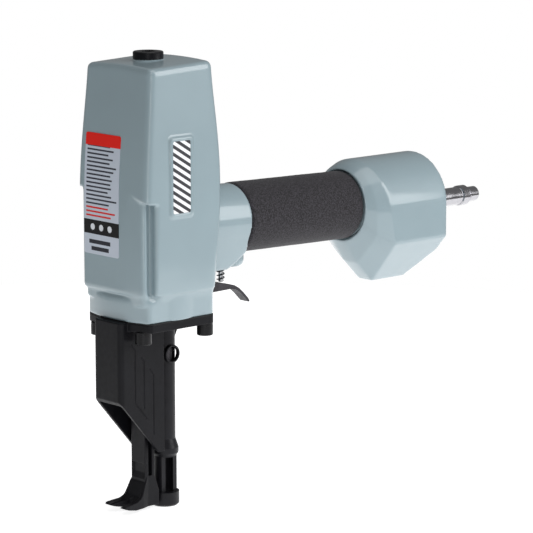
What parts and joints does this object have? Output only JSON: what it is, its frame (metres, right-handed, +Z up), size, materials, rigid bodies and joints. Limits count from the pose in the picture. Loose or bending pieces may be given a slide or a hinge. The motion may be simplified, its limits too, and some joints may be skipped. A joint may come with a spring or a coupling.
{
  "type": "pneumatic nail remover",
  "caption": "Pneumatic nail remover: tall painted head over a slim black guide tube and forked pry claw, with a foam-covered rear handle, D-shaped end cap and quick-connect air plug.",
  "frame": {"origin": "centre of the guide tube's open end, where the tool is set over a nail's point", "axes": "+Z up the guide tube towards the head; +X back along the handle to the air plug; the tool is symmetric about Y = 0"},
  "size_m": [0.3208, 0.068, 0.282],
  "materials": {
    "paint": "glossy grey-blue paint on cast alloy",
    "black_cast": "satin black coated casting",
    "black_steel": "black oxide on turned steel",
    "black_bolt": "black oxide bolt",
    "foam": "matte closed-cell foam with a fine speckle",
    "rubber": "matte rubber",
    "chrome": "bright plating",
    "bronze": "sintered bronze",
    "black_plastic": "black moulded plastic",
    "bright_steel": "ground steel",
    "lever_steel": "dark phosphated steel",
    "spring": "dark spring wire",
    "bare_alloy": "machined alloy",
    "label": "blank printed film in plain bands",
    "badge": "blank white plate"
  },
  "bodies": {
    "tool": {"housing": "paint", "top_plug": "black_steel", "top_plug_seal": "rubber", "cylinder_sleeve": "bare_alloy", "sleeve_seals": "rubber", "bumper": "rubber", "flange_gasket": "rubber", "nose_casting": "black_cast", "guide_tube": "black_steel", "side_port_bush": "black_steel", "nail_claw": "black_cast", "nose_bolts": "black_bolt", "nose_spring_washers": "black_bolt", "grip_sleeve": "foam", "rear_cap": "paint", "cap_seal": "rubber", "cap_screws": "black_bolt", "hose_adapter": "chrome", "air_plug": "chrome", "inlet_filter": "bronze", "trigger_valve_body": "black_plastic", "trigger_valve_seals": "rubber", "trigger_valve_cap": "black_plastic", "trigger_pivot_pin": "bright_steel", "front_label": "label", "side_badges": "badge", "head_valve_spring": "spring", "trigger_spring": "spring", "valve_stem_spring": "spring"},
    "driver": {"piston": "bare_alloy", "piston_ring": "rubber", "driver_pin": "lever_steel", "driver_nut": "bright_steel"},
    "firing_valve": {"head_valve": "black_plastic", "head_valve_seal": "rubber", "head_valve_ring": "rubber"},
    "trigger": {"trigger_lever": "lever_steel"},
    "stem": {"valve_stem": "bright_steel"}
  },
  "joints": [
    {"name": "driver_stroke", "type": "slide", "parent": "tool", "child": "driver", "axis": [0, 0, -1], "range_m": [0, 0.077]},
    {"name": "firing_valve_lift", "type": "slide", "parent": "tool", "child": "firing_valve", "axis": [0, 0, 1], "range_m": [0, 0.003], "stiffness_N_per_m": 1200, "springref_m": -0.004, "deforming": ["head_valve_spring"]},
    {"name": "trigger_pull", "type": "hinge", "parent": "tool", "child": "trigger", "pos_m": [0.024, 0, 0.131], "axis": [0, -1, 0], "range_deg": [0, 9], "stiffness_Nm_per_rad": 0.3, "springref_deg": -8.59, "deforming": ["trigger_spring"]},
    {"name": "valve_stem_lift", "type": "slide", "parent": "tool", "child": "stem", "axis": [0, 0, 1], "range_m": [0, 0.0037], "stiffness_N_per_m": 10, "springref_m": -0.002, "deforming": ["valve_stem_spring"]}
  ],
  "couplings": [
    {"joint": "valve_stem_lift", "follows": "trigger_pull", "m_per_rad": 0.0225}
  ]
}
